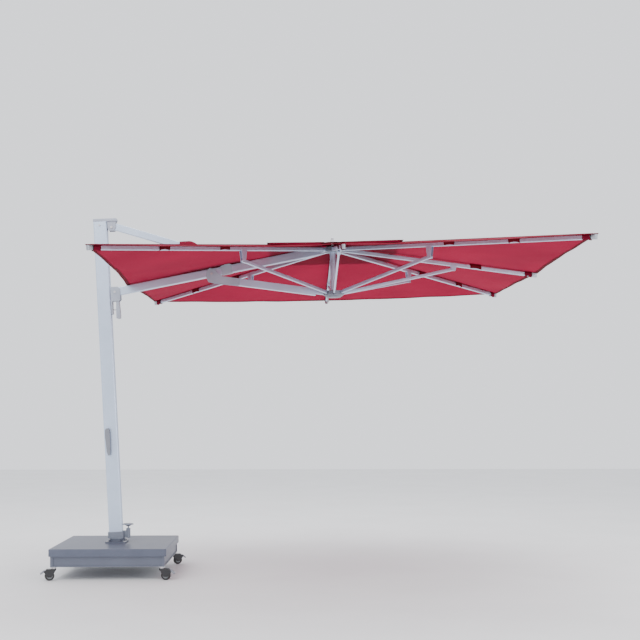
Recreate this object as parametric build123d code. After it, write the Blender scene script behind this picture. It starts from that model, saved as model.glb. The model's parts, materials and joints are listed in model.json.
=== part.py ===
from build123d import *
import math
import os

# Cantilever parasol. Millimetres, +Z up, origin on the floor under the mast's swivel axis.
# The boom runs towards +X in the plane y = 0. Every linkage is isosceles, so that one angle folds it.

# ---- driving dimensions ----
BASE_SIDE = 810.0          # square base, over the lid
BASE_CLEAR = 94.0          # floor to the underside of the tray
TRAY_TOP = 166.0
LID_BOTTOM = 167.0
LID_TOP = 218.0
LID_OVERHANG = 12.0
CASTER_INSET = 32.0        # from the lid's edge to a caster's swivel axis
WHEEL_R = 33.0
WHEEL_W = 24.0
CASTER_TRAIL = 28.0
CASTER_YAW = (200.0, -8.0, 152.0, 28.0)   # front left, front right, back left, back right

MAST_LEAN = 2.9            # degrees, top towards -X
MAST_FOOT_Z = 190.0        # where the mast's axis crosses the swivel axis
MAST_D = 97.0
MAST_W = 62.0
MAST_WALL = 3.0
MAST_BOTTOM_S = 66.0       # along the mast's axis, from its foot
MAST_TOP_S = 2360.0
SLOT_W = 10.0
SLOT_CAVITY_W = 24.0
SHOE_LOW = 112.0           # sliding shoe's lower end under the boom's pivot
SHOE_HIGH = 50.0
LOCK_DROP = 128.0          # lock pin under the boom's pivot

PIVOT_OFF = 81.0           # mast axis to the line of the strut's and the boom's pivots
STRUT_PIVOT_S = 2316.6     # along the mast: upper strut's pivot
BOOM_PIVOT_S = 1845.7      # along the mast: boom's pivot when open
STRUT_REACH = 836.0        # strut pivot to its pin on the boom, and boom pivot to the same pin
BOOM_ANGLE = 11.575        # boom above the horizontal when open
BOOM_LEN = 1555.5          # boom pivot to crown pivot
BOOM_D = 58.0
BOOM_W = 44.0
TUBE_WALL = 2.5

HEAD_TILT = 1.5            # degrees, canopy's far side up
HUB_R = 60.0               # hinge pins' radius in both hubs
HUB_GAP = 315.6            # crown hinge plane to lower hub hinge plane
BRACKET_REACH = 827.0      # hinge pin to bracket pin, measured level

HALF_SIDE = 1500.0         # half the canopy's side
CORNER_R = 2120.0          # plan radius of a corner rib's tip
CORNER_DROP = 194.0
MID_DROP = 220.0
RIB_D = 28.0
RIB_W = 18.0
STRUT_D = 24.0
STRUT_W = 14.0
TIP_LEN = 40.0
SCALLOP = 40.0             # how far the hem pulls in between two rib tips

FOLD_MAX = 70.0            # degrees of strut rotation from open to folded
RUN = 0.08                 # radial running clearance
GAP = 0.5                  # clearance between parts that pass each other

# ---- linkage, worked out ----
LEAN = math.radians(MAST_LEAN)
TILT = math.radians(HEAD_TILT)
MAST_FRAME = Pos(0, 0, MAST_FOOT_Z) * Rot(0, -MAST_LEAN, 0)
BRACKET_DROP = HUB_GAP / 2
BRACKET_LEN = math.hypot(BRACKET_REACH, BRACKET_DROP)


def on_mast(s, off=0.0):
    """Point (x, z) at s along the mast's axis and off in front of it."""
    x = off * math.cos(LEAN) - s * math.sin(LEAN)
    z = MAST_FOOT_Z + s * math.cos(LEAN) + off * math.sin(LEAN)
    return (x, z)


def polar(start, length, degrees):
    """Point (x, z) at a length and an angle above the horizontal from start."""
    a = math.radians(degrees)
    return (start[0] + length * math.cos(a), start[1] + length * math.sin(a))


def angle_of(p, q):
    """Angle of the line from p to q above the horizontal, in degrees."""
    return math.degrees(math.atan2(q[1] - p[1], q[0] - p[0]))


PIVOT_A = on_mast(STRUT_PIVOT_S, PIVOT_OFF)
PIVOT_B = on_mast(BOOM_PIVOT_S, PIVOT_OFF)
HALF_AB = (STRUT_PIVOT_S - BOOM_PIVOT_S) / 2
PIVOT_C1 = on_mast(BOOM_PIVOT_S + HALF_AB, PIVOT_OFF + math.sqrt(STRUT_REACH**2 - HALF_AB**2))
PIVOT_T = polar(PIVOT_B, BOOM_LEN, BOOM_ANGLE)


def in_head(radial, up):
    """Point (x, z) in the tilted head, measured from the crown pivot T."""
    x = PIVOT_T[0] + radial * math.cos(TILT) - up * math.sin(TILT)
    z = PIVOT_T[1] + radial * math.sin(TILT) + up * math.cos(TILT)
    return (x, z)


CROWN = in_head(HUB_R, 0)
PIVOT_L = in_head(0, -HUB_GAP)
LOWER = in_head(HUB_R, -HUB_GAP)
PIVOT_C2 = in_head(-BRACKET_REACH, -BRACKET_DROP)
CROWN_FRAME = Pos(CROWN[0], 0, CROWN[1]) * Rot(0, -HEAD_TILT, 0)
LOWER_FRAME = Pos(LOWER[0], 0, LOWER[1]) * Rot(0, -HEAD_TILT, 0)
BOOM_FRAME = Pos(PIVOT_B[0], 0, PIVOT_B[1]) * Rot(0, -BOOM_ANGLE, 0)
BEAM_FRAME = Pos(PIVOT_C2[0], 0, PIVOT_C2[1]) * Rot(0, -angle_of(PIVOT_C2, PIVOT_L), 0)
STRUT_FRAME = Pos(PIVOT_A[0], 0, PIVOT_A[1]) * Rot(0, -angle_of(PIVOT_A, PIVOT_C1), 0)

# rib directions seen from above; the boom takes the direction at 180 degrees
RIBS = {
    "rib_front": 0.0,
    "rib_front_left": 45.0,
    "rib_left": 90.0,
    "rib_back_left": 135.0,
    "rib_back_right": 225.0,
    "rib_right": 270.0,
    "rib_front_right": 315.0,
}


def is_corner(azimuth):
    return azimuth % 90.0 != 0.0


# ---- small helpers ----
def block(x, y, z):
    """Box between the given (low, high) limits."""
    size = (x[1] - x[0], y[1] - y[0], z[1] - z[0])
    return Pos((x[0] + x[1]) / 2, (y[0] + y[1]) / 2, (z[0] + z[1]) / 2) * Box(*size)


def cross_pin(x, z, r, half_width):
    """Cylinder along Y through (x, z)."""
    return Pos(x, 0, z) * Rot(90, 0, 0) * Cylinder(r, 2 * half_width)


def post(x, y, r, z):
    """Vertical cylinder between the z limits."""
    return Pos(x, y, (z[0] + z[1]) / 2) * Cylinder(r, z[1] - z[0])


def plate_xz(points, y0, y1):
    """Flat plate with an outline in the XZ plane, between two y values."""
    face = make_face(Polyline(*[(x, 0, z) for x, z in points], close=True))
    return extrude(Pos(0, y0, 0) * face, amount=y1 - y0, dir=(0, 1, 0))


def tube_x(x, depth, width, wall, z=0.0):
    """Rectangular tube along X with rounded long edges."""
    length = x[1] - x[0]
    outer = RectangleRounded(depth, width, 4.0)
    inner = RectangleRounded(depth - 2 * wall, width - 2 * wall, 2.0)
    profile = Plane((x[0], 0, z), x_dir=(0, 0, 1), z_dir=(1, 0, 0)) * (outer - inner)
    return extrude(profile, amount=length)


def mirror_y(shape):
    return shape + mirror(shape, about=Plane.XZ)


def save(name, shape, frame=None):
    """Writes one node; a group of separate solids stays a group."""
    moved = shape if frame is None else frame * shape
    solids = moved.solids()
    body = solids[0] if len(solids) == 1 else Compound(children=list(solids))
    export_step(body, os.path.join("parts", name + ".step"))


def group(*shapes):
    """Keeps touching pieces as separate solids in one node."""
    solids = []
    for shape in shapes:
        solids.extend(shape.solids())
    return Compound(children=solids)


# ---- base ----
def base_tray():
    side = BASE_SIDE / 2 - LID_OVERHANG
    outer = block((-side, side), (-side, side), (BASE_CLEAR, TRAY_TOP))
    wall = 3.0
    panel_inset = 6.0
    post_side = 20.0
    inner = side - panel_inset - wall
    cavity = block((-inner, inner), (-inner, inner), (BASE_CLEAR + wall, TRAY_TOP + 1))
    tray = outer - cavity
    for turn in range(4):
        recess = block(
            (side - panel_inset, side + 1),
            (-side + post_side, side - post_side),
            (BASE_CLEAR + 8, TRAY_TOP - 6),
        )
        tray -= Rot(0, 0, 90 * turn) * recess
    return tray


def base_lid():
    half = BASE_SIDE / 2
    lid = block((-half, half), (-half, half), (LID_BOTTOM, LID_TOP))
    lid = fillet(lid.edges().filter_by(Axis.Z), 14.0)
    lid = fillet(lid.edges().group_by(Axis.Z)[-1], 7.0)
    wall = 3.0
    inner = half - LID_OVERHANG - wall
    lid -= block((-inner, inner), (-inner, inner), (LID_BOTTOM - 1, LID_TOP - 4.0))
    rail = block((-10, 10), (-inner, inner), (LID_BOTTOM, LID_TOP - 4.0))
    lid = lid + rail + Rot(0, 0, 90) * rail
    return lid - post(0, 0, CUP_R + GAP, (LID_BOTTOM - 1, LID_TOP + 1))


def ballast_plates():
    side = 372.0
    centre = 192.0
    plates = []
    for sx in (-1, 1):
        for sy in (-1, 1):
            slab = Pos(sx * centre, sy * centre, BASE_CLEAR + 3.0 + 25.0 / 2) * Box(side, side, 25.0)
            slab = chamfer(slab.edges().filter_by(Axis.Z), 12.0)
            plates.append(slab)
    return group(*plates)


FLANGE_SIDE = 150.0
FLANGE_TOP = LID_TOP + 8.0
STUB_R = 52.0
STUB_TOP = 246.0
SPINDLE_R = 30.0
CUP_R = 40.0               # the flange's cup for the spindle, down through the lid
CUP_BOTTOM = 128.0
BOLT_SPACING = 122.0


def foot_flange():
    half = FLANGE_SIDE / 2
    plate = block((-half, half), (-half, half), (LID_TOP, FLANGE_TOP))
    plate = fillet(plate.edges().filter_by(Axis.Z), 12.0)
    stub = post(0, 0, STUB_R, (FLANGE_TOP, STUB_TOP))
    cup = post(0, 0, CUP_R, (CUP_BOTTOM, LID_TOP + 1))
    flange = plate + stub + cup
    web = block((STUB_R - 4, STUB_R + 20), (-3, 3), (FLANGE_TOP, FLANGE_TOP + 14))
    for angle in (45, 135, 225, 315):
        flange += Rot(0, 0, angle) * web
    return flange - post(0, 0, SPINDLE_R + RUN, (CUP_BOTTOM + 4, STUB_TOP + 1))


def foot_bolts():
    bolts = []
    half = BOLT_SPACING / 2
    for sx in (-1, 1):
        for sy in (-1, 1):
            hexagon = extrude(RegularPolygon(8.5, 6), amount=3.5, both=True)
            head = Pos(sx * half, sy * half, FLANGE_TOP + 3.5) * hexagon
            washer = post(sx * half, sy * half, 10.0, (FLANGE_TOP, FLANGE_TOP + 1.5))
            bolts.append(head + washer)
    return group(*bolts)


# ---- casters, built at the origin with the wheel trailing towards +X ----
FORK_TOP = 80.0
STEM_R = 6.0


def caster_places():
    reach = BASE_SIDE / 2 - CASTER_INSET
    corners = ((-reach, -reach), (reach, -reach), (-reach, reach), (reach, reach))
    return [(c[0], c[1], yaw) for c, yaw in zip(corners, CASTER_YAW)]


def caster_stem():
    plate = block((-18, 18), (-18, 18), (BASE_CLEAR - 5, BASE_CLEAR))
    collar = post(0, 0, 15, (FORK_TOP + 1, BASE_CLEAR - 5))
    return plate + collar + post(0, 0, STEM_R, (FORK_TOP - 9.5, FORK_TOP + 1))


def caster_fork():
    crown_plate = block((-17, 50), (-18, 18), (FORK_TOP - 8, FORK_TOP))
    crown_plate = fillet(crown_plate.edges().filter_by(Axis.Z), 8.0)
    cheek = plate_xz([(-14, 73), (50, 73), (66, 69), (66, 58), (42, 24), (16, 24)], 14.5, 18)
    fork = crown_plate + mirror_y(cheek)
    fork += cross_pin(CASTER_TRAIL, WHEEL_R, 4.0, 18.0)
    return fork - post(0, 0, STEM_R + RUN, (FORK_TOP - 10, FORK_TOP + 1))


def caster_wheel():
    tyre = Rot(90, 0, 0) * Cylinder(WHEEL_R, WHEEL_W)
    tyre = fillet(tyre.edges(), 5.0)
    groove = Rot(90, 0, 0) * (Cylinder(20.0, 4.0) - Cylinder(8.0, 4.0))
    face = WHEEL_W / 2
    tyre -= Pos(0, face, 0) * groove
    tyre -= Pos(0, -face, 0) * groove
    tyre -= Rot(90, 0, 0) * Cylinder(4.0 + RUN, 2 * WHEEL_W)
    return Pos(CASTER_TRAIL, 0, WHEEL_R) * tyre


BRAKE_PIVOT = (59.0, 64.0)


def brake_pedal():
    lever = plate_xz([(54, 71), (67, 71), (92, 50), (88, 44), (68, 60), (60, 58), (54, 60)], -14, 14)
    lever = fillet(lever.edges().filter_by(Axis.Y).sort_by(Axis.X)[-2:], 2.0)
    return lever - cross_pin(BRAKE_PIVOT[0], BRAKE_PIVOT[1] + 1, 2.5 + RUN, 20)


def brake_pin():
    return cross_pin(BRAKE_PIVOT[0], BRAKE_PIVOT[1] + 1, 2.5, 14.5)


# ---- mast, built along +Z from its foot with its slot towards +X ----
SOCKET_BASE = STUB_TOP + GAP
PEDAL_X = 82.0
PEDAL_TRAVEL = 12.0
ROD_BOTTOM = FLANGE_TOP + 7.0 + PEDAL_TRAVEL + 2.0    # passes over the bolt heads when pressed


def mast_socket():
    drum = post(0, 0, 56.0, (SOCKET_BASE, 262.0))
    spindle = post(0, 0, SPINDLE_R, (CUP_BOTTOM + 6, SOCKET_BASE))
    collar = block((-57, 57), (-40, 40), (62, 106))
    collar = fillet(collar.edges().filter_by(Axis.Z), 16.0)
    collar = fillet(collar.edges().group_by(Axis.Z)[-1], 3.0)
    neck = block((-50, 50), (-36, 36), (61, 70))
    body = drum + MAST_FRAME * (collar + neck)
    pocket = block((-MAST_D / 2, MAST_D / 2), (-MAST_W / 2, MAST_W / 2), (MAST_BOTTOM_S, 130))
    return body + spindle - MAST_FRAME * pocket


def mast_profile():
    outer = RectangleRounded(MAST_D, MAST_W, 9.0)
    inner = RectangleRounded(MAST_D - 2 * MAST_WALL, MAST_W - 2 * MAST_WALL, 6.0)
    front = MAST_D / 2
    rail = Pos(front - 9.5, 0) * Rectangle(19.0 - 0.1, SLOT_CAVITY_W + 2 * MAST_WALL)
    rail = rail & outer
    cavity = Pos(front - 9.5, 0) * Rectangle(11.0, SLOT_CAVITY_W)
    mouth = Pos(front - 2, 0) * Rectangle(6.0, SLOT_W)
    return (outer - inner) + rail - cavity - mouth


def folded_boom_pivot_s():
    """Where the boom's pivot stands along the mast when the canopy is folded."""
    open_angle = math.acos(HALF_AB / STRUT_REACH)
    return STRUT_PIVOT_S - 2 * STRUT_REACH * math.cos(open_angle - math.radians(FOLD_MAX))


def mast_tube():
    tube = Pos(0, 0, MAST_BOTTOM_S) * extrude(mast_profile(), amount=MAST_TOP_S - MAST_BOTTOM_S)
    stop_top = folded_boom_pivot_s() - LOCK_DROP - 12.0
    front = MAST_D / 2
    stop = block((front - 15, front - 1), (-SLOT_W / 2, SLOT_W / 2), (stop_top - 20, stop_top))
    return tube + stop


EYE_W = 36.0               # gap between the cap's clevis plates


def mast_cap():
    top = block((-50, 120), (-33, 33), (MAST_TOP_S, MAST_TOP_S + 20))
    top = fillet(top.edges().filter_by(Axis.Z), 8.0)
    top = fillet(top.edges().group_by(Axis.Z)[-1], 4.0)
    ear_points = [(51, 2361), (113, 2361), (113, 2314), (100, 2290), (62, 2290), (51, 2310)]
    ear = plate_xz(ear_points, EYE_W / 2 + 0.2, EYE_W / 2 + 6)
    cap = top + mirror_y(ear)
    return cap - cross_pin(PIVOT_OFF, STRUT_PIVOT_S, 5.0, 40)


def cap_pin():
    pin = cross_pin(PIVOT_OFF, STRUT_PIVOT_S, 5.0, EYE_W / 2 + 6)
    head = cross_pin(PIVOT_OFF, STRUT_PIVOT_S, 9.0, 2.5)
    near = Pos(0, -(EYE_W / 2 + 8.5), 0) * head
    far = Pos(0, EYE_W / 2 + 8.5, 0) * head
    screws = mirror_y(Pos(-4, -35, 2345 - 12) * Rot(90, 0, 0) * Cylinder(6.5, 8.0))
    return group(pin + near + far, screws)


def mast_handle():
    side = -MAST_W / 2
    back = [(-8, 662), (-20, 662), (-28, 690), (-36, 800), (-34, 845), (-26, 858)]
    front = [(-8, 858), (-2, 845), (-2, 800), (-4, 690)]
    outline = back + front
    grip = plate_xz(outline, side - 32, side - 16)
    grip = fillet(grip.edges().filter_by(Axis.Y), 4.0)
    feet = block((-30, -8), (side - 16, side), (690, 720)) + block((-32, -6), (side - 16, side), (800, 830))
    return grip + feet


# ---- foot pedal on the socket ----
def pedal_housing():
    barrel = post(PEDAL_X, 0, 15.5, (251, 319))
    bracket = block((48, PEDAL_X), (-12, 12), (252, 302))
    housing = barrel + bracket
    housing -= post(PEDAL_X, 0, 12.0, (262, 315))
    housing -= post(PEDAL_X, 0, 5.0 + RUN, (250, 320))
    drum = post(0, 0, 56.0, (240, 264))
    collar = MAST_FRAME * block((-57, 57), (-40, 40), (50, 118))
    return housing - drum - collar


def foot_pedal():
    rod = post(PEDAL_X, 0, 5.0, (ROD_BOTTOM, 334))
    disc = post(PEDAL_X, 0, 37.5, (345, 353))
    disc = fillet(disc.edges().group_by(Axis.Z)[-1], 5.0)
    cone = Pos(PEDAL_X, 0, 339.5) * Cone(9.0, 30.0, 11.0)
    collar = post(PEDAL_X, 0, 11.0, (300, 303))
    return rod + disc + cone + collar


def pedal_spring():
    turns = Helix(pitch=7.0, height=33.0, radius=8.5)
    start = Plane(origin=turns @ 0, z_dir=turns % 0)
    coil = sweep(start * Circle(1.1), path=turns, is_frenet=True)
    return Pos(PEDAL_X, 0, 264.5) * coil


# ---- upper strut, along +X from its pivot on the mast ----
def upper_strut():
    near = 12.0
    far = -28.0
    start = 42.0
    end = STRUT_REACH - 34.0
    slope = (far - near) / STRUT_REACH
    tilt = math.degrees(math.atan(slope))
    length = (end - start) / math.cos(math.radians(tilt))
    bar = tube_x((0, length), 50.0, 35.0, TUBE_WALL)
    bar = Pos(start, 0, near + slope * start) * Rot(0, -tilt, 0) * bar
    half = 35.0 / 2
    eye_points = [(-6, 18), (0, -20), (start + 2, -13), (start + 2, 34), (12, 34)]
    eye = cross_pin(0, 0, 20.0, half) + plate_xz(eye_points, -half, half)
    pad_x = STRUT_REACH
    tongue_points = [(end - 3, -1.5), (pad_x + 4, 18), (pad_x + 4, -18), (end - 3, -50)]
    tongue = cross_pin(pad_x, 0, 20.0, half) + plate_xz(tongue_points, -half, half)
    strut = eye + bar + tongue
    strut -= cross_pin(0, 0, 5.0 + RUN, 40)
    return strut - cross_pin(pad_x, 0, 6.0 + RUN, 40)


# ---- boom, along +X from its pivot on the carriage ----
def in_boom(point):
    """Point (x, z) of the world in the boom's own frame."""
    dx = point[0] - PIVOT_B[0]
    dz = point[1] - PIVOT_B[1]
    a = math.radians(BOOM_ANGLE)
    return (dx * math.cos(a) + dz * math.sin(a), dz * math.cos(a) - dx * math.sin(a))


LUG = in_boom(PIVOT_C1)
BEAM_PIN = in_boom(PIVOT_C2)
TONGUE_W = 18.0


def boom_tube():
    root_x = 34.0
    end_x = BOOM_LEN - 42.0
    half = BOOM_W / 2
    tube = tube_x((root_x, end_x), BOOM_D, BOOM_W, TUBE_WALL)
    knuckle = cross_pin(0, 0, BOOM_D / 2, half)
    knuckle += block((0, root_x), (-half, half), (-BOOM_D / 2, BOOM_D / 2))
    plug = block((end_x - 12, end_x + 4), (-half + 1, half - 1), (-25, 25))
    tongue = block((end_x, BOOM_LEN), (-TONGUE_W / 2, TONGUE_W / 2), (-14, 14))
    tongue += cross_pin(BOOM_LEN, 0, 14.0, TONGUE_W / 2)
    boom = tube + knuckle + plug + tongue
    boom -= cross_pin(0, 0, 5.0, 60)
    boom -= cross_pin(BEAM_PIN[0], BEAM_PIN[1], 6.0, 60)
    return boom - cross_pin(BOOM_LEN, 0, 3.0 + RUN, 60)


def boom_sleeve():
    low = LUG[0] - 40.0
    high = LUG[0] + 38.0
    half = BOOM_W / 2
    shell = block((low, high), (-half - 2.5, half + 2.5), (-33, 34))
    shell = fillet(shell.edges().filter_by(Axis.X), 4.0)
    shell -= block((low - 1, high + 1), (-half, half), (-BOOM_D / 2, BOOM_D / 2))
    x, z = LUG
    foot = [(low + 8, 30), (high - 8, 30)]
    eye = [(x + 22, z), (x + 14, z + 20), (x - 14, z + 20), (x - 22, z)]
    ear = plate_xz(foot + eye, 18.2, 24.5)
    sleeve = shell + mirror_y(ear)
    return sleeve - cross_pin(x, z, 6.0, 60)


def boom_pins():
    """Root pin, strut pin and lower beam pin, each with two heads."""
    sets = []
    root = (0, 0, 5.0, 29.0)
    strut_end = (LUG[0], LUG[1], 6.0, 25.0)
    beam_end = (BEAM_PIN[0], BEAM_PIN[1], 6.0, 31.0)
    for x, z, r, reach in (root, strut_end, beam_end):
        pin = cross_pin(x, z, r, reach)
        head = cross_pin(x, z, r + 3.5, 2.0)
        sets.append(pin + Pos(0, reach + 2, 0) * head + Pos(0, -reach - 2, 0) * head)
    return group(*sets)


# ---- carriage, in the mast's frame ----
CARRIAGE_BACK = MAST_D / 2 + 1.5
CHEEK_Y = BOOM_W / 2 + 0.6
LEVER_PIVOT = (PIVOT_OFF + 16.0, BOOM_PIVOT_S - 56.0)
LOCK_S = BOOM_PIVOT_S - LOCK_DROP


def carriage_block():
    s = BOOM_PIVOT_S
    low = CARRIAGE_BACK
    below = [(low, s - 68), (low + 58, s - 68), (low + 70, s - 56)]
    above = [(low + 70, s + 20), (low + 54, s + 37), (low, s + 37)]
    cheek = plate_xz(below + above, CHEEK_Y, CHEEK_Y + 6)
    plate = block((low, low + 9), (-CHEEK_Y - 6, CHEEK_Y + 6), (s - 160, s - 42))
    bridge = block((low, low + 32), (-CHEEK_Y, CHEEK_Y), (s - 68, s - 60))
    body = mirror_y(cheek) + plate + bridge
    body -= cross_pin(PIVOT_OFF, s, 5.0 + RUN, 60)
    body -= cross_pin(LEVER_PIVOT[0], LEVER_PIVOT[1], 4.0, 60)
    body += cross_pin(LEVER_PIVOT[0], LEVER_PIVOT[1], 4.0, CHEEK_Y + 6)
    return body - Pos(low, 0, LOCK_S) * Rot(0, 90, 0) * Cylinder(4.0 + RUN, 40)


def carriage_shoe():
    s = BOOM_PIVOT_S
    front = MAST_D / 2
    neck = block((front - 9, CARRIAGE_BACK), (-4, 4), (s - SHOE_LOW, s - SHOE_HIGH))
    head = block((front - 13.5, front - 5.5), (-10.5, 10.5), (s - SHOE_LOW, s - SHOE_HIGH))
    return neck + head


def carriage_lever():
    x, s = LEVER_PIVOT
    half = CHEEK_Y - 1.0
    eye = cross_pin(x, s, 9.0, half)
    outer = [(x + 9, s), (x + 15, s - 90), (x + 15, s - 138)]
    inner = [(x - 14, s - 138), (x - 14, s - 90), (x - 9, s)]
    blade = plate_xz(outer + inner, -half, half)
    blade = fillet(blade.edges().filter_by(Axis.Y).group_by(Axis.Z)[0], 8.0)
    lever = eye + blade
    hollow = block((x - 20, x + 8), (-half + 5, half - 5), (s - 132, s - 14))
    return lever - hollow - cross_pin(x, s, 4.0 + RUN, 60)


def lock_pin():
    front = MAST_D / 2
    tail = LEVER_PIVOT[0] - 3.0
    rod = Pos((front - 7 + tail) / 2, 0, LOCK_S) * Rot(0, 90, 0) * Cylinder(4.0, tail - front + 7)
    knob = Pos(tail - 3, 0, LOCK_S) * Rot(0, 90, 0) * Cylinder(8.0, 6.0)
    return rod + knob


# ---- lower beam, along +X from its pin on the boom ----
BEAM_D = 50.0
BEAM_W = 50.0
BEAM_SAG = 32.0            # how far the beam's axis lies under its pin at the boom's end
BEAM_START = 76.0
BEAM_CUT = 214.0           # where the slanted end reaches the beam's underside


def beam_axis(x):
    return -BEAM_SAG * (1 - x / BRACKET_LEN)


def lower_beam():
    half = BEAM_W / 2
    deep = BEAM_D / 2
    end = BRACKET_LEN - 70.0
    outline = [
        (BEAM_START, beam_axis(BEAM_START) + deep),
        (BEAM_CUT, beam_axis(BEAM_CUT) - deep),
        (end, beam_axis(end) - deep),
        (end, beam_axis(end) + deep),
    ]
    body = plate_xz(outline, -half, half)
    core_x = (BEAM_CUT + 12, end - 8)
    core = [
        (core_x[0], beam_axis(core_x[0]) - deep + TUBE_WALL),
        (core_x[1], beam_axis(core_x[1]) - deep + TUBE_WALL),
        (core_x[1], beam_axis(core_x[1]) + deep - TUBE_WALL),
        (core_x[0], beam_axis(core_x[0]) + deep - TUBE_WALL),
    ]
    body -= plate_xz(core, -half + TUBE_WALL, half - TUBE_WALL)
    tongue = block((end, BRACKET_LEN), (-STRUT_W / 2, STRUT_W / 2), (-12, 12))
    tongue += cross_pin(BRACKET_LEN, 0, 12.0, STRUT_W / 2)
    return body + tongue - cross_pin(BRACKET_LEN, 0, 3.0 + RUN, 60)


def lower_beam_clevis():
    inner = BEAM_W / 2
    deep = BEAM_D / 2
    outline = [
        (-38, 18), (-22, 38), (20, 38), (44, 12), (BEAM_START + 6, beam_axis(BEAM_START) + deep),
        (BEAM_CUT, beam_axis(BEAM_CUT) + deep), (BEAM_CUT, beam_axis(BEAM_CUT) - deep),
        (30, beam_axis(30) - deep - 4), (-18, beam_axis(0) - deep), (-38, -24),
    ]
    plate = plate_xz(outline, inner, inner + 4)
    return mirror_y(plate) - cross_pin(0, 0, 6.0 + RUN, 60)


# ---- hubs, in the tilted head frame ----
def hinge_slots(width, low, high, start=34.0):
    """Eight radial slots, open outwards."""
    slots = []
    for step in range(8):
        slot = block((start, 90), (-width / 2, width / 2), (low, high))
        slots.append(Rot(0, 0, 45 * step) * slot)
    return slots


def hub_pins(radius, reach):
    """Eight hinge pins on the hinge circle, in tangential direction."""
    pins = []
    for step in range(8):
        pins.append(Rot(0, 0, 45 * step) * cross_pin(HUB_R, 0, radius, reach))
    return group(*pins)


PIN_REACH = 16.0


def crown_hub():
    hub = post(0, 0, 76.0, (-15, 15))
    hub = fillet(hub.edges().group_by(Axis.Z)[-1], 4.0)
    for slot in hinge_slots(RIB_W + 2.0, -16, 16):
        hub -= slot
    for step in range(8):
        hub -= Rot(0, 0, 45 * step) * cross_pin(HUB_R, 0, 3.0, PIN_REACH)
    cover = post(0, 0, 70.0, (15, 18))
    return hub + cover


def centre_post():
    tube = post(0, 0, 21.0, (-HUB_GAP - 4, -15)) - post(0, 0, 18.0, (-HUB_GAP - 5, -15 - 6))
    return tube


def finial():
    stud = post(0, 0, 8.0, (18, 58))
    cone = Pos(0, 0, 66.5) * Cone(20.0, 11.0, 17.0)
    knob = Pos(0, 0, 83.0) * Sphere(11.0)
    return stud + cone + knob


def lower_hub():
    hub = post(0, 0, 74.0, (-14, 13))
    dish = Pos(0, 0, -22.5) * Cone(50.0, 74.0, 17.0)
    hub = hub + dish
    for slot in hinge_slots(STRUT_W + 2.0, -13, 14):
        hub -= slot
    for step in range(8):
        hub -= Rot(0, 0, 45 * step) * cross_pin(HUB_R, 0, 3.0, PIN_REACH - 2)
    hub -= post(0, 0, 22.0, (-6, 14))
    pull_hole = Pos(*pull_place(), -22) * Cylinder(4.0 + RUN, 40)
    return hub - pull_hole


def pull_place():
    """The pull pin's place between two slots."""
    a = math.radians(157.5)
    return (46.0 * math.cos(a), 46.0 * math.sin(a))


def pull_pin():
    x, y = pull_place()
    rod = post(x, y, 4.0, (-58, -3))
    ball = Pos(x, y, -60) * Sphere(8.0)
    return rod + ball


# ---- ribs and struts, along +X from their hinge pins, before they are turned into place ----
def rib_end(azimuth):
    """Level distance and drop from the hinge pin to the rib's tip."""
    if is_corner(azimuth):
        return CORNER_R - HUB_R, CORNER_DROP
    return HALF_SIDE - HUB_R, MID_DROP


def rib(azimuth):
    level, drop = rib_end(azimuth)
    slope = math.degrees(math.atan2(drop, level))
    length = math.hypot(level, drop) - TIP_LEN
    half = RIB_W / 2
    deep = RIB_D / 2
    bar = tube_x((30, length), RIB_D, RIB_W, 1.5)
    root = cross_pin(0, 0, deep, half) + block((0, 30), (-half, half), (-deep, deep))
    bar = bar + root - cross_pin(0, 0, 3.0 + RUN, 20)
    tip = block((length, length + TIP_LEN), (-half - 1.5, half + 1.5), (-deep, deep + 1))
    tip = fillet(tip.edges().filter_by(Axis.Z), 7.0)
    frame = Rot(0, slope, 0)
    axis_z = -math.tan(math.radians(slope)) * BRACKET_REACH
    low = -BRACKET_DROP - 13.0
    high = axis_z - 2.0
    outline = [
        (BRACKET_REACH - 26, high), (BRACKET_REACH + 26, high),
        (BRACKET_REACH + 13, low), (BRACKET_REACH - 13, low),
    ]
    cheek = plate_xz(outline, half, half + 3)
    bracket = mirror_y(cheek) + cross_pin(BRACKET_REACH, -BRACKET_DROP, 3.5, half + 4)
    return group(frame * bar, frame * tip, bracket)


def strut():
    half = STRUT_W / 2
    deep = STRUT_D / 2
    bar = tube_x((16, BRACKET_LEN - 16), STRUT_D, STRUT_W, 1.5)
    for x in (0, BRACKET_LEN):
        bar += cross_pin(x, 0, deep, half)
    bar += block((0, 17), (-half, half), (-deep, deep))
    bar += block((BRACKET_LEN - 17, BRACKET_LEN), (-half, half), (-deep, deep))
    bar -= cross_pin(0, 0, 3.0 + RUN, 20)
    bar -= cross_pin(BRACKET_LEN, 0, 4.0, 20)
    rise = math.degrees(math.atan2(BRACKET_DROP, BRACKET_REACH))
    return Rot(0, -rise, 0) * bar


def hinge_frame(hub_frame, azimuth):
    return hub_frame * Rot(0, 0, azimuth) * Pos(HUB_R, 0, 0)


# ---- fabric, as thin closed shells in the head frame ----
def closed_shell(rows, thickness, ring):
    """Thin solid between a grid of points and the same grid lifted; ring joins last column to first."""
    count = len(rows[0])
    low = [[Vector(*p) for p in row] for row in rows]
    high = [[Vector(p.X, p.Y, p.Z + thickness) for p in row] for row in low]
    last = count if ring else count - 1
    faces = []

    def add(a, b, c):
        faces.append(Face(Wire.make_polygon([a, b, c], close=True)))

    def add_quad(a, b, c, d):
        add(a, b, c)
        add(a, c, d)

    for i in range(len(rows) - 1):
        for j in range(last):
            k = (j + 1) % count
            add_quad(high[i][j], high[i + 1][j], high[i + 1][k], high[i][k])
            add_quad(low[i][j], low[i + 1][j], low[i + 1][k], low[i][k])
    for edge in (0, len(rows) - 1):
        for j in range(last):
            k = (j + 1) % count
            add_quad(low[edge][j], low[edge][k], high[edge][k], high[edge][j])
    if not ring:
        for j in (0, count - 1):
            for i in range(len(rows) - 1):
                add_quad(low[i][j], low[i + 1][j], high[i + 1][j], high[i][j])
    return Solid(Shell(faces))


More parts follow.
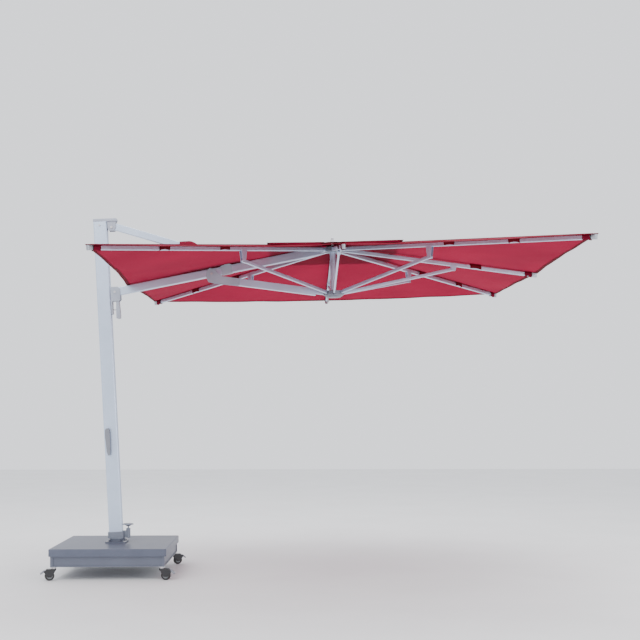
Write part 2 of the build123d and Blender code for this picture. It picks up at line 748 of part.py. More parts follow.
INNER_R = 84.0             # hole in the middle of the canopy
INNER_Z = 29.0
CLOTH = 1.2
LEFT_TIP_Z = -221.0        # over the boom
MID_TIP_Z = -MID_DROP + RIB_D / 2 + 3.0
CORNER_TIP_Z = -CORNER_DROP + RIB_D / 2 + 3.0


def canopy_rim():
    """Sixteen points of the hem: eight rib tips and the scallop's middle between each two."""
    rim = []
    for step in range(16):
        a = math.radians(22.5 * step)
        if step % 4 == 2:
            rim.append((CORNER_R * math.cos(a), CORNER_R * math.sin(a), CORNER_TIP_Z))
        elif step % 4 == 0:
            z = LEFT_TIP_Z if step == 8 else MID_TIP_Z
            rim.append((HALF_SIDE * math.cos(a), HALF_SIDE * math.sin(a), z))
        else:
            mid = (HALF_SIDE - SCALLOP) / max(abs(math.cos(a)), abs(math.sin(a)))
            side_z = LEFT_TIP_Z if step in (7, 9) else MID_TIP_Z
            rim.append((mid * math.cos(a), mid * math.sin(a), (CORNER_TIP_Z + side_z) / 2))
    return rim


def canopy():
    rim = canopy_rim()
    inner = []
    for x, y, z in rim:
        r = math.hypot(x, y)
        inner.append((INNER_R * x / r, INNER_R * y / r, INNER_Z))
    cloth = closed_shell([inner, rim], CLOTH, ring=True)
    slit_x = CROWN[0] - PIVOT_C1[0]
    slit = block((-slit_x - 66, -slit_x + 66), (-34, 34), (-400, 100))
    return cloth - slit


VENT_HALF = 470.0
VENT_SCALLOP = 14.0
VENT_LIFT = 13.0           # air gap over the canopy at the cap's hem
VENT_HOLE_R = 11.0
VENT_TOP_Z = 56.0


def vent_cap():
    inner = []
    rim = []
    for step, (hem_x, hem_y, hem_z) in enumerate(canopy_rim()):
        a = math.radians(22.5 * step)
        reach = VENT_HALF / max(abs(math.cos(a)), abs(math.sin(a)))
        if step % 2:
            reach -= VENT_SCALLOP
        share = (reach - INNER_R) / (math.hypot(hem_x, hem_y) - INNER_R)
        canopy_z = INNER_Z + share * (hem_z - INNER_Z)
        rim.append((reach * math.cos(a), reach * math.sin(a), canopy_z + VENT_LIFT))
        inner.append((VENT_HOLE_R * math.cos(a), VENT_HOLE_R * math.sin(a), VENT_TOP_Z))
    return closed_shell([inner, rim], CLOTH, ring=True)


BOOT_PROFILE = (           # hood's top from its mouth at the strut to its far end, (x, z)
    (458.0, 2410.0), (545.0, 2416.0), (595.0, 2382.0), (820.0, 2350.0), (975.0, 2308.0),
)
BOOT_FOOT = 26.0           # hood's hem over the boom tube's upper side
BOOT_HALF = (95.0, 38.0)   # half width at the hem and at the top


def strut_boot():
    """Fabric hood over the strut's lower end, in the world frame."""
    hem, ridge = BOOT_HALF
    rows = []
    for x, top in BOOT_PROFILE:
        rise = (x - PIVOT_B[0]) * math.tan(math.radians(BOOM_ANGLE))
        ground = PIVOT_B[1] + rise + BOOM_D / 2 + BOOT_FOOT
        rows.append([(x, -hem, ground), (x, -ridge, top), (x, ridge, top), (x, hem, ground)])
    return closed_shell(rows, CLOTH, ring=False)


def main():
    os.makedirs("parts", exist_ok=True)
    save("base_tray", base_tray())
    save("base_lid", base_lid())
    save("ballast_plates", ballast_plates())
    save("foot_flange", foot_flange())
    save("foot_bolts", foot_bolts())
    stems = []
    for number, (x, y, yaw) in enumerate(caster_places(), start=1):
        place = Pos(x, y, 0) * Rot(0, 0, yaw)
        stems.append(Pos(x, y, 0) * caster_stem())
        save(f"caster_fork_{number}", group(caster_fork(), brake_pin()), place)
        save(f"caster_wheel_{number}", caster_wheel(), place)
        save(f"brake_pedal_{number}", brake_pedal(), place)
    save("caster_stems", group(*stems))
    save("mast_socket", mast_socket())
    save("mast_tube", mast_tube(), MAST_FRAME)
    save("mast_cap", mast_cap(), MAST_FRAME)
    save("cap_pin", cap_pin(), MAST_FRAME)
    save("mast_handle", mast_handle(), MAST_FRAME)
    save("pedal_housing", pedal_housing())
    save("foot_pedal", foot_pedal())
    save("pedal_spring", pedal_spring())
    save("upper_strut", upper_strut(), STRUT_FRAME)
    save("boom_tube", boom_tube(), BOOM_FRAME)
    save("boom_sleeve", boom_sleeve(), BOOM_FRAME)
    save("boom_pins", boom_pins(), BOOM_FRAME)
    save("carriage_block", carriage_block(), MAST_FRAME)
    save("carriage_shoe", carriage_shoe(), MAST_FRAME)
    save("carriage_lever", carriage_lever(), MAST_FRAME)
    save("lock_pin", lock_pin(), MAST_FRAME)
    save("lower_beam", lower_beam(), BEAM_FRAME)
    save("lower_beam_clevis", lower_beam_clevis(), BEAM_FRAME)
    save("crown_hub", crown_hub(), CROWN_FRAME)
    save("crown_pins", hub_pins(3.0, PIN_REACH), CROWN_FRAME)
    save("centre_post", centre_post(), CROWN_FRAME)
    save("finial", finial(), CROWN_FRAME)
    save("lower_hub", lower_hub(), LOWER_FRAME)
    save("lower_hub_pins", hub_pins(3.0, PIN_REACH - 2), LOWER_FRAME)
    save("pull_pin", pull_pin(), LOWER_FRAME)
    for name, azimuth in RIBS.items():
        save(name, rib(azimuth), hinge_frame(CROWN_FRAME, azimuth))
        save(name.replace("rib_", "strut_"), strut(), hinge_frame(LOWER_FRAME, azimuth))
    save("canopy", canopy(), CROWN_FRAME)
    save("vent_cap", vent_cap(), CROWN_FRAME)
    save("strut_boot", strut_boot())


main()
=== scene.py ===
import json
import math

import bpy
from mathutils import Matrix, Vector


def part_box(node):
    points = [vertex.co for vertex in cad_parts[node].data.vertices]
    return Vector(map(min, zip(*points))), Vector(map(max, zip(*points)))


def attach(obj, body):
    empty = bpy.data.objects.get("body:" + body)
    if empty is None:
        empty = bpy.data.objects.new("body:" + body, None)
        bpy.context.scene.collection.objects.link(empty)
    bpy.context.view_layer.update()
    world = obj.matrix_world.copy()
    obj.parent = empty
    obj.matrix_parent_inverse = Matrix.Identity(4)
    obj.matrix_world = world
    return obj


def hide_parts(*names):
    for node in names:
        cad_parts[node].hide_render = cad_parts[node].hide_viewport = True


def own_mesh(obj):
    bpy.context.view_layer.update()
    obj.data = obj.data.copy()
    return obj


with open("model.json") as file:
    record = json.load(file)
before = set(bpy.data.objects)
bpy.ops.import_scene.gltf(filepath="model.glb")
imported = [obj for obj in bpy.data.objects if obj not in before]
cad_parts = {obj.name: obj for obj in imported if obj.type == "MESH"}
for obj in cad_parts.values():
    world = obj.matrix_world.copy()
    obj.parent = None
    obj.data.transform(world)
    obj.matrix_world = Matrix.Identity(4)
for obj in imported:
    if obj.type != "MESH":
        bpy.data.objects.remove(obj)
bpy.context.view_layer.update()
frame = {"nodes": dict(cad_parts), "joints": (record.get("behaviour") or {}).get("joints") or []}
nodes = frame["nodes"]
joints = {j["name"]: j for j in frame["joints"]}

# ---- the tilted head frame, from the hinges of the crown ----
CROWN_PIVOT = Vector(joints["crown_pivot"]["pos_m"])
FRONT_HINGE = Vector(joints["rib_front_fold"]["pos_m"])
CENTRE = (CROWN_PIVOT + FRONT_HINGE) / 2
HEAD_X = (FRONT_HINGE - CROWN_PIVOT).normalized()
HEAD_Y = Vector((0, 1, 0))
HEAD_Z = HEAD_X.cross(HEAD_Y)

# the body that carries each direction of the canopy, counted from +X in steps of 45 degrees
CARRIERS = (
    "rib_front", "rib_front_left", "rib_left", "rib_back_left",
    "boom", "rib_back_right", "rib_right", "rib_front_right",
)

# ---- cloth dimensions, metres ----
CLOTH_T = 0.0014
LIFT = 0.0006              # sheet's middle over the CAD sheet's upper side
SCALLOP = 0.034            # how far the hem pulls in between two rib tips
SAG = 0.020
WAVE = 0.0015
PAST_TIP = 0.010
HEM_W = 0.024
HEM_T = 0.004
SEAM_W = 0.026
SEAM_SPANS = ((0.02, 0.985),)                   # shares of the spoke, from the middle to the hem
BOOM_SEAM_SPANS = ((0.02, 0.40), (0.56, 0.985))  # leaves a gap at the slit
SEAM_PROFILE = ((-0.5, 0.0), (-0.42, 0.0009), (-0.3, 0.0006), (0.3, 0.0006), (0.42, 0.0009), (0.5, 0.0))
CANOPY_GRID = (33, 49)     # columns and rows of a kite
SLIT_HALF = (0.07, 0.036)  # the strut's slit, half sizes along X and Y

# cloth loops that hold the ribs
SLEEVE_T = 0.0012
SLEEVE_LEN = 0.082
SLEEVE_DROP = 0.034
SLEEVE_HALF = 0.0125
CORNER_SLEEVES = (1.055, 1.555)
MID_SLEEVES = (1.05,)
POCKET_INSET = 0.075
POCKET_LEN = 0.05
POCKET_DROP = 0.036
POCKET_HALF = 0.0135

# vent cap and the patch over its middle
VENT_SCALLOP = 0.014
VENT_SAG = 0.004
VENT_WAVE = 0.0015
VENT_GRID = (19, 17)
VENT_HEM_W = 0.022
VENT_HEM_T = 0.0035
VENT_SEAM_W = 0.02
VENT_SEAM_SPAN = (0.12, 0.97)
PATCH_RADII = (0.0105, 0.03, 0.06, 0.085, 0.098, 0.1, 0.1)
PATCH_COLUMNS = 48
PATCH_HOLE = 0.011
PATCH_LIFT = 0.0032
PATCH_EDGE_DROP = 0.002

# the strut hood's top: share of its length from the mouth, drop under its highest point
HOOD_TOP = ((0.0, 0.009), (0.168, 0.003), (0.265, 0.036), (0.70, 0.068), (1.0, 0.110))
HOOD_ROUNDING = (-0.04, -0.02, 0.0, 0.02, 0.04)
HOOD_LIFT = 0.047          # its foot over the line from the carriage pivot to the crown pivot
HOOD_HALF = 0.086
HOOD_BULGE = 0.006
HOOD_WRINKLE = 0.005

# ---- foot pedal spring, metres ----
SPRING_FOOT = Vector((0.082, 0, 0.2645))
SPRING_HEIGHT = 0.033
SPRING_PITCH = 0.007
SPRING_RADIUS = 0.0085
SPRING_WIRE = 0.0011
SPRING_SIDES = 10
SPRING_RINGS = 28          # a turn

# ---- rib tips and wheels, metres ----
TIP_CAP_INSET = 0.012
TIP_CAP_DROP = 0.017
TIP_CAP_RADIUS = 0.052
WHEEL_HUB_RADIUS = 0.0235

# ---- colours ----
SILVER = (0.56, 0.65, 0.80)
LIGHT_CASTING = (0.36, 0.39, 0.46)
HUB_CASTING = (0.20, 0.22, 0.27)
SLATE = (0.20, 0.215, 0.25)
STEEL = (0.55, 0.55, 0.57)
RAW_IRON = (0.07, 0.065, 0.06)
LIGHT_PLASTIC = (0.55, 0.56, 0.60)
TIP_PLASTIC = (0.36, 0.38, 0.42)
CASTER_BLACK = (0.022, 0.022, 0.024)
TYRE_CLEAN = (0.012, 0.012, 0.013)
TYRE_DUSTY = (0.045, 0.043, 0.041)
WHEEL_HUB = (0.22, 0.23, 0.24)
BASE_GREY = (0.115, 0.128, 0.170)
RED = (0.25, 0.009, 0.036)
RED_GLOW = (0.24, 0.006, 0.030)
# hem, rib sleeve and apex patch cloth: the canopy red darkened as painted shade for the doubled cloth's
# shaded edge
HEM_RED_SHADED = (0.13, 0.004, 0.012)
HEM_GLOW = (0.25, 0.02, 0.03)
FLOOR_TONES = ((0.80, 0.80, 0.80), (0.84, 0.84, 0.84))
WORLD_COLOUR = (0.93, 0.95, 1.0, 1)

# ---- camera and lights ----
CAMERA_PLACE = (1.27, -7.5, 1.145)
CAMERA_TURN = -1.6         # degrees
CAMERA_LENS = 57.6
CAMERA_SENSOR = 36.0
CAMERA_SHIFT = 0.148
WORLD_STRENGTH = 1.5
# name, place, what it points at, size, power, colour
LIGHTS = (
    ("key", (-2.5, -5.0, 6.5), (1.2, 0, 1.5), (5.0, 5.0), 300, (1.0, 0.98, 0.95)),
    ("top", (2.6, 1.0, 6.0), (1.6, 0, 2.3), (4.0, 4.0), 260, (1, 1, 1)),
    ("fill", (5.5, -5.5, 2.2), (1.3, 0, 1.3), (3.5, 3.0), 110, (0.95, 0.97, 1.0)),
)
FLOOR_CORNERS = ((-14, -14, 0), (16, -14, 0), (16, 14, 0), (-14, 14, 0))


def in_head(x, y, z):
    """World point of a point in the head frame."""
    return CENTRE + HEAD_X * x + HEAD_Y * y + HEAD_Z * z


def to_head(p):
    """Point in the head frame of a world point."""
    d = Vector(p) - CENTRE
    return Vector((d.dot(HEAD_X), d.dot(HEAD_Y), d.dot(HEAD_Z)))


def directions(step):
    """Unit vectors along a spoke and across it, in the head frame."""
    a = math.radians(45 * step)
    return Vector((math.cos(a), math.sin(a), 0)), Vector((-math.sin(a), math.cos(a), 0))


def spokes(node):
    """Innermost and outermost upper points of a CAD sheet in the eight rib directions, in the head frame."""
    points = [to_head(v.co) for v in nodes[node].data.vertices]
    found = []
    for step in range(8):
        ray, side = directions(step)
        near = [p for p in points if p.dot(ray) > 0 and abs(p.dot(side)) < 0.003]
        inner = min(near, key=lambda p: (round(p.dot(ray), 3), -p.z))
        outer = max(near, key=lambda p: (round(p.dot(ray), 3), p.z))
        found.append((inner, outer))
    return found


# ---- camera ----
def camera():
    data = bpy.data.cameras.new("camera")
    data.sensor_width = CAMERA_SENSOR
    data.lens = CAMERA_LENS
    data.shift_y = CAMERA_SHIFT
    data.clip_end = 100.0
    cam = bpy.data.objects.new("camera", data)
    cam.location = CAMERA_PLACE
    cam.rotation_euler = (math.radians(90), 0, math.radians(CAMERA_TURN))
    bpy.context.scene.collection.objects.link(cam)
    bpy.context.scene.camera = cam


# ---- materials ----
def new_material(name):
    mat = bpy.data.materials.new(name)
    mat.use_nodes = True
    tree = mat.node_tree
    tree.nodes.clear()
    out = tree.nodes.new("ShaderNodeOutputMaterial")
    shader = tree.nodes.new("ShaderNodeBsdfPrincipled")
    tree.links.new(shader.outputs[0], out.inputs[0])
    return mat, tree, shader, out


def node(tree, kind, **values):
    """A new node with its sockets or properties set by name."""
    made = tree.nodes.new(kind)
    for key, value in values.items():
        if key in made.inputs:
            made.inputs[key].default_value = value
        else:
            setattr(made, key, value)
    return made


def object_noise(tree, scale, detail=3.0, stretch=None):
    """Noise in object space, drawn out along an axis where stretch says so."""
    coords = tree.nodes.new("ShaderNodeTexCoord")
    noise = node(tree, "ShaderNodeTexNoise", Scale=scale, Detail=detail)
    source = coords.outputs["Object"]
    if stretch:
        mapping = node(tree, "ShaderNodeMapping")
        mapping.inputs["Scale"].default_value = stretch
        tree.links.new(source, mapping.inputs["Vector"])
        source = mapping.outputs[0]
    tree.links.new(source, noise.inputs["Vector"])
    return noise.outputs["Fac"]


def ramp(tree, source, low, high, at=(0.3, 0.7)):
    """Colour ramp between two colours."""
    made = tree.nodes.new("ShaderNodeValToRGB")
    for element, place, colour in zip(made.color_ramp.elements, at, (low, high)):
        element.position = place
        element.color = (*colour, 1)
    tree.links.new(source, made.inputs["Fac"])
    return made.outputs["Color"]


def levels(tree, source, low, high):
    made = node(tree, "ShaderNodeMapRange")
    made.inputs["To Min"].default_value = low
    made.inputs["To Max"].default_value = high
    tree.links.new(source, made.inputs["Value"])
    return made.outputs["Result"]


def bump(tree, shader, source, strength, distance, previous=None):
    made = node(tree, "ShaderNodeBump", Strength=strength, Distance=distance)
    tree.links.new(source, made.inputs["Height"])
    if previous:
        tree.links.new(previous, made.inputs["Normal"])
    tree.links.new(made.outputs[0], shader.inputs["Normal"])
    return made.outputs[0]


def shade(colour, factor):
    return tuple(min(1.0, c * factor) for c in colour)


def painted(name, colour, roughness, metallic=0.0, grain=900.0, spread=0.12, depth=0.0002, specular=0.5):
    """Painted metal or plain plastic: slight tone drift, fine orange peel."""
    mat, tree, shader, _ = new_material(name)
    drift = object_noise(tree, 7.0)
    toned = ramp(tree, drift, shade(colour, 1 - spread), shade(colour, 1 + spread))
    tree.links.new(toned, shader.inputs["Base Color"])
    fine = object_noise(tree, grain, 2.0)
    tree.links.new(levels(tree, drift, roughness * 0.85, roughness * 1.15), shader.inputs["Roughness"])
    shader.inputs["Metallic"].default_value = metallic
    shader.inputs["Specular IOR Level"].default_value = specular
    bump(tree, shader, fine, 0.25, depth)
    return mat


def brushed(name, colour, stretch, roughness=0.33):
    """Drawn or brushed metal with lines along the stretched axis."""
    mat, tree, shader, _ = new_material(name)
    lines = object_noise(tree, 60.0, 4.0, stretch)
    drift = object_noise(tree, 3.0)
    tree.links.new(ramp(tree, drift, shade(colour, 0.92), shade(colour, 1.06)), shader.inputs["Base Color"])
    tree.links.new(levels(tree, lines, roughness * 0.8, roughness * 1.25), shader.inputs["Roughness"])
    shader.inputs["Metallic"].default_value = 0.75
    bump(tree, shader, lines, 0.12, 0.0002)
    return mat


def ball_mask(tree, centre, radius, blur=0.0008):
    """1 inside a ball about a point, 0 outside."""
    coords = tree.nodes.new("ShaderNodeTexCoord")
    far = node(tree, "ShaderNodeVectorMath", operation="DISTANCE")
    far.inputs[1].default_value = centre
    tree.links.new(coords.outputs["Object"], far.inputs[0])
    edge = node(tree, "ShaderNodeMapRange")
    edge.inputs["From Min"].default_value = radius - blur
    edge.inputs["From Max"].default_value = radius + blur
    edge.inputs["To Min"].default_value = 1.0
    edge.inputs["To Max"].default_value = 0.0
    tree.links.new(far.outputs["Value"], edge.inputs["Value"])
    return edge.outputs["Result"]


def mixed(tree, mask, below, above):
    """Socket below where the mask is 0, constant colour above where it is 1."""
    made = node(tree, "ShaderNodeMix", data_type="RGBA")
    tree.links.new(mask, made.inputs[0])
    tree.links.new(below, made.inputs[6])
    made.inputs[7].default_value = (*above, 1)
    return made.outputs[2]


def wheel_material(name, centre):
    """Black tyre with a grey plastic hub."""
    mat, tree, shader, _ = new_material(name)
    dust = object_noise(tree, 90.0, 5.0)
    tyre = ramp(tree, dust, TYRE_CLEAN, TYRE_DUSTY)
    hub = ball_mask(tree, centre, WHEEL_HUB_RADIUS)
    tree.links.new(mixed(tree, hub, tyre, WHEEL_HUB), shader.inputs["Base Color"])
    tree.links.new(levels(tree, dust, 0.55, 0.85), shader.inputs["Roughness"])
    bump(tree, shader, dust, 0.3, 0.0004)
    return mat


def rib_material(name, base, tip):
    """Silver rib whose plastic tip is mid grey."""
    mat, tree, shader, _ = new_material(name)
    lines = object_noise(tree, 60.0, 3.0)
    silver = ramp(tree, lines, shade(base, 0.93), shade(base, 1.05))
    cap = ball_mask(tree, tip, TIP_CAP_RADIUS)
    tree.links.new(mixed(tree, cap, silver, TIP_PLASTIC), shader.inputs["Base Color"])
    tree.links.new(levels(tree, lines, 0.3, 0.42), shader.inputs["Roughness"])
    shader.inputs["Metallic"].default_value = 0.8
    bump(tree, shader, object_noise(tree, 1200.0, 2.0), 0.15, 0.0002)
    return mat


def cloth(name, colour, glow, translucency, weave=0.0022):
    """Sewn polyester: crossed weave, slubs, sheen, and light that comes through it."""
    mat, tree, shader, out = new_material(name)
    drift = object_noise(tree, 2.2, 5.0)
    slub = object_noise(tree, 140.0, 4.0)
    toned = ramp(tree, drift, shade(colour, 0.86), shade(colour, 1.12))
    thread = ramp(tree, slub, (0.80, 0.80, 0.80), (1.0, 1.0, 1.0), (0.35, 0.65))
    product = node(tree, "ShaderNodeMix", data_type="RGBA", blend_type="MULTIPLY")
    product.inputs[0].default_value = 0.6
    tree.links.new(toned, product.inputs[6])
    tree.links.new(thread, product.inputs[7])
    tree.links.new(product.outputs[2], shader.inputs["Base Color"])
    tree.links.new(levels(tree, slub, 0.72, 0.92), shader.inputs["Roughness"])
    shader.inputs["Sheen Weight"].default_value = 0.015
    shader.inputs["Specular IOR Level"].default_value = 0.1
    shader.inputs["Sheen Roughness"].default_value = 0.5
    coords = tree.nodes.new("ShaderNodeTexCoord")
    normal = None
    for direction in ("X", "Y"):
        wave = node(tree, "ShaderNodeTexWave", bands_direction=direction, Scale=math.pi / (10 * weave))
        tree.links.new(coords.outputs["Object"], wave.inputs["Vector"])
        normal = bump(tree, shader, wave.outputs["Fac"], 0.25, 0.0003, normal)
    normal = bump(tree, shader, object_noise(tree, 9.0, 3.0), 0.25, 0.004, normal)
    through = node(tree, "ShaderNodeBsdfTranslucent")
    tree.links.new(ramp(tree, drift, shade(glow, 0.9), shade(glow, 1.08)), through.inputs["Color"])
    tree.links.new(normal, through.inputs["Normal"])
    both = node(tree, "ShaderNodeMixShader")
    both.inputs[0].default_value = translucency
    tree.links.new(shader.outputs[0], both.inputs[1])
    tree.links.new(through.outputs[0], both.inputs[2])
    tree.links.new(both.outputs[0], out.inputs[0])
    return mat


def paint(names, mat):
    for name in names:
        slots = nodes[name].data.materials
        slots.clear()
        slots.append(mat)


def dress_cad():
    """Gives every CAD node that stays visible its material, and builds the spring in the same steel."""
    silver = painted("silver_coat", SILVER, 0.32, 0.8, spread=0.04)
    casting = painted("light_casting", LIGHT_CASTING, 0.42, 0.35)
    hub_grey = painted("hub_casting", HUB_CASTING, 0.42, 0.35)
    slate = painted("slate_plastic", SLATE, 0.5, grain=500.0, depth=0.0005)
    steel = brushed("steel", STEEL, (1, 1, 12))
    paint(("mast_tube", "boom_tube", "upper_strut", "lower_beam", "centre_post"), silver)
    paint(("mast_cap", "boom_sleeve", "lower_beam_clevis", "carriage_block", "carriage_lever"), casting)
    paint(("crown_hub", "lower_hub", "mast_socket", "pedal_housing", "foot_pedal"), hub_grey)
    paint(("mast_handle", "carriage_shoe"), slate)
    paint(("finial",), painted("light_plastic", LIGHT_PLASTIC, 0.4, grain=500.0))
    steel_nodes = ("foot_bolts", "caster_stems", "cap_pin", "boom_pins", "lock_pin", "crown_pins")
    paint(steel_nodes + ("lower_hub_pins", "pull_pin"), steel)
    pressed_spring(steel)
    paint(("ballast_plates",), painted("raw_iron", RAW_IRON, 0.7, 0.5, grain=200.0, depth=0.001))
    paint(("base_tray", "foot_flange"), painted("tray_coat", BASE_GREY, 0.4, 0.2, spread=0.06))
    paint(("base_lid",), painted("lid_coat", BASE_GREY, 0.3, spread=0.06, specular=0.06))
    fork = painted("caster_black", CASTER_BLACK, 0.42, grain=400.0)
    for number in range(1, 5):
        paint((f"caster_fork_{number}",), fork)
        paint((f"brake_pedal_{number}",), slate)
        hub = Vector(joints[f"wheel_{number}_spin"]["pos_m"])
        paint((f"caster_wheel_{number}",), wheel_material(f"wheel_{number}", hub))
    outer = spokes("canopy")
    for step, name in enumerate(CARRIERS):
        if name == "boom":
            continue
        tip = outer[step][1]
        away = Vector((tip.x, tip.y, 0)).normalized() * TIP_CAP_INSET
        end = in_head(tip.x - away.x, tip.y - away.y, tip.z - TIP_CAP_DROP)
        paint((name,), rib_material("coat_" + name, SILVER, end))
        paint((name.replace("rib_", "strut_"),), silver)


# ---- mesh helpers ----
def mesh_object(name, verts, faces, mats, smooth=True):
    mesh = bpy.data.meshes.new(name)
    mesh.from_pydata([tuple(v) for v in verts], [], faces)
    for mat in mats:
        mesh.materials.append(mat)
    mesh.update()
    if smooth:
        mesh.polygons.foreach_set("use_smooth", [True] * len(mesh.polygons))
    made = bpy.data.objects.new(name, mesh)
    bpy.context.scene.collection.objects.link(made)
    return made


def grid_faces(rows, columns, wrap=False):
    """Quads of a grid whose vertices are listed row by row; wrap joins last column to first."""
    faces = []
    last = columns if wrap else columns - 1
    for i in range(rows - 1):
        for j in range(last):
            k = (j + 1) % columns
            faces.append((i * columns + j, i * columns + k, (i + 1) * columns + k, (i + 1) * columns + j))
    return faces


def thicken(obj, thickness):
    """Gives a sheet its thickness, half to each side, as plain mesh."""
    modifier = obj.modifiers.new("thickness", "SOLIDIFY")
    modifier.thickness = thickness
    modifier.offset = 0.0
    graph = bpy.context.evaluated_depsgraph_get()
    made = bpy.data.meshes.new_from_object(obj.evaluated_get(graph))
    obj.modifiers.clear()
    obj.data = made
    return obj


def face_area(obj):
    return sum(p.area for p in obj.data.polygons)


# ---- foot pedal spring ----
def pressed_spring(mat):
    """The pedal's coil as a mesh, carried by the mast's body."""
    turns = SPRING_HEIGHT / SPRING_PITCH
    rings = round(turns * SPRING_RINGS)
    up = Vector((0, 0, 1))
    verts = []
    for ring in range(rings):
        share = ring / (rings - 1)
        angle = math.tau * turns * share
        outward = Vector((math.cos(angle), math.sin(angle), 0))
        middle = SPRING_FOOT + outward * SPRING_RADIUS + up * SPRING_HEIGHT * share
        for side in range(SPRING_SIDES):
            around = math.tau * side / SPRING_SIDES
            verts.append(middle + (outward * math.cos(around) - up * math.sin(around)) * SPRING_WIRE)
    faces = grid_faces(rings, SPRING_SIDES, wrap=True)
    faces.append(tuple(reversed(range(SPRING_SIDES))))
    faces.append(tuple(range(len(verts) - SPRING_SIDES, len(verts))))
    made = mesh_object("pedal_coil", verts, faces, [mat])
    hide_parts("pedal_spring")
    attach(made, "mast")
    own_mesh(made)


# ---- the canopy's surface ----
class Surface:
    """A cloth stretched over eight spokes, in the head frame."""

    def __init__(self, node_name, scallop, sag, wave, past):
        self.spokes = spokes(node_name)
        self.scallop = scallop
        self.sag = sag
        self.wave = wave
        self.past = past

    def on_spoke(self, step, t):
        """Point at a share t of a spoke's length."""
        inner, outer = self.spokes[step % 8]
        away = Vector((outer.x, outer.y, 0)).normalized()
        return inner.lerp(outer + away * self.past, t)

    def point(self, turn, t, lift=0.0):
        """turn counts spokes from 0 to 8, t runs from the middle to the hem."""
        step = math.floor(turn)
        s = turn - step
        p = self.on_spoke(step, t).lerp(self.on_spoke(step + 1, t), s)
        span = 4 * s * (1 - s)
        away = Vector((p.x, p.y, 0)).normalized()
        p = p - away * (self.scallop * span * t**4)
        p.z -= self.sag * span * t * (1.25 - t) * 2
        ripple = math.sin(6 * math.pi * turn) + 0.5 * math.sin(10 * math.pi * turn + 2.0)
        p.z += self.wave * span * t**5 * ripple
        p.z += lift
        return p


def in_slit(verts, face, slit):
    """Whether a face's middle lies in the slit, given as centre and half sizes along X and Y."""
    middle = sum((verts[k] for k in face), Vector()) / len(face)
    centre, half_x, half_y = slit
    return abs(middle.x - centre) < half_x and abs(middle.y) < half_y


def kite(name, surface, step, columns, rows, mat, slit=None):
    """The cloth that one spoke carries, from the middle of one gore to the middle of the next."""
    verts = []
    for i in range(rows):
        t = i / (rows - 1)
        for j in range(columns):
            turn = step - 0.5 + j / (columns - 1)
            p = surface.point(turn % 8, t, LIFT)
            verts.append(in_head(*p))
    faces = grid_faces(rows, columns)
    if slit:
        faces = [face for face in faces if not in_slit(verts, face, slit)]
    made = mesh_object(name, verts, faces, [mat])
    area = face_area(made)
    outer = surface.point(float(step), 1.0)
    length = math.hypot(outer.x, outer.y)
    edge = surface.point((step + 0.5) % 8, 1.0)
    away = Vector((outer.x, outer.y, 0)).normalized()
    width = 2 * abs(edge.x * -away.y + edge.y * away.x)
    return made, (max(width, area / length), length), area


def crease(obj, step, surface):
    """Gives a piece its own copy of its mesh."""
    anchor = in_head(*surface.on_spoke(step, 0.5))
    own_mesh(obj)


def hem(name, surface, step, mat, width, thickness):
    """Doubled cloth band round a kite's hem, a closed strip with a bevelled outer edge."""
    columns = 33
    verts = []
    outer = surface.point(float(step), 1.0)
    reach = math.hypot(outer.x, outer.y)
    inner_t = 1 - width / reach
    half = thickness / 2
    past_t = 1 + half / reach
    profile = ((inner_t, half), (1.0, half), (past_t, 0.0), (1.0, -half), (inner_t, -half))
    for j in range(columns):
        turn = (step - 0.5 + j / (columns - 1)) % 8
        for t, rise in profile:
            verts.append(in_head(*surface.point(turn, t, LIFT + rise)))
    faces = grid_faces(columns, len(profile), wrap=True)
    faces.append(tuple(range(len(profile))))
    faces.append(tuple(reversed(range(len(verts) - len(profile), len(verts)))))
    return mesh_object(name, verts, faces, [mat], smooth=False)


def seam(name, surface, step, mat, width, t_range):
    """Felled seam along a spoke, raised a little over the cloth."""
    rows = 25
    _, side = directions(step)
    top = LIFT + CLOTH_T / 2
    verts = []
    for i in range(rows):
        t = t_range[0] + (t_range[1] - t_range[0]) * i / (rows - 1)
        for across, rise in SEAM_PROFILE:
            p = surface.on_spoke(step, t) + side * (across * width)
            p.z += top + rise - 0.0002
            verts.append(in_head(*p))
    return mesh_object(name, verts, grid_faces(rows, len(SEAM_PROFILE)), [mat])


def sleeve(name, surface, step, reach, length, mat, drop=SLEEVE_DROP, half=SLEEVE_HALF):
    """Cloth loop that holds a rib under the canopy: an open U with thickness."""
    ray, side = directions(step)
    inner, outer = surface.on_spoke(step, 0.0), surface.on_spoke(step, 1.0)
    verts = []
    rows = 7
    columns = 13
    for i in range(rows):
        r = reach + length * (i / (rows - 1) - 0.5)
        t = (r - inner.dot(ray)) / (outer.dot(ray) - inner.dot(ray))
        flare = 1 + 0.08 * math.cos(2 * math.pi * i / (rows - 1))
        for j in range(columns):
            b = math.pi * j / (columns - 1)
            y = math.copysign(abs(math.cos(b)) ** 0.5, math.cos(b)) * half * flare
            z = -drop * flare * math.sin(b) ** 0.5
            p = surface.on_spoke(step, t) + side * y
            p.z += z - 0.0005
            verts.append(in_head(*p))
    made = mesh_object(name, verts, grid_faces(rows, columns), [mat])
    return thicken(made, SLEEVE_T)


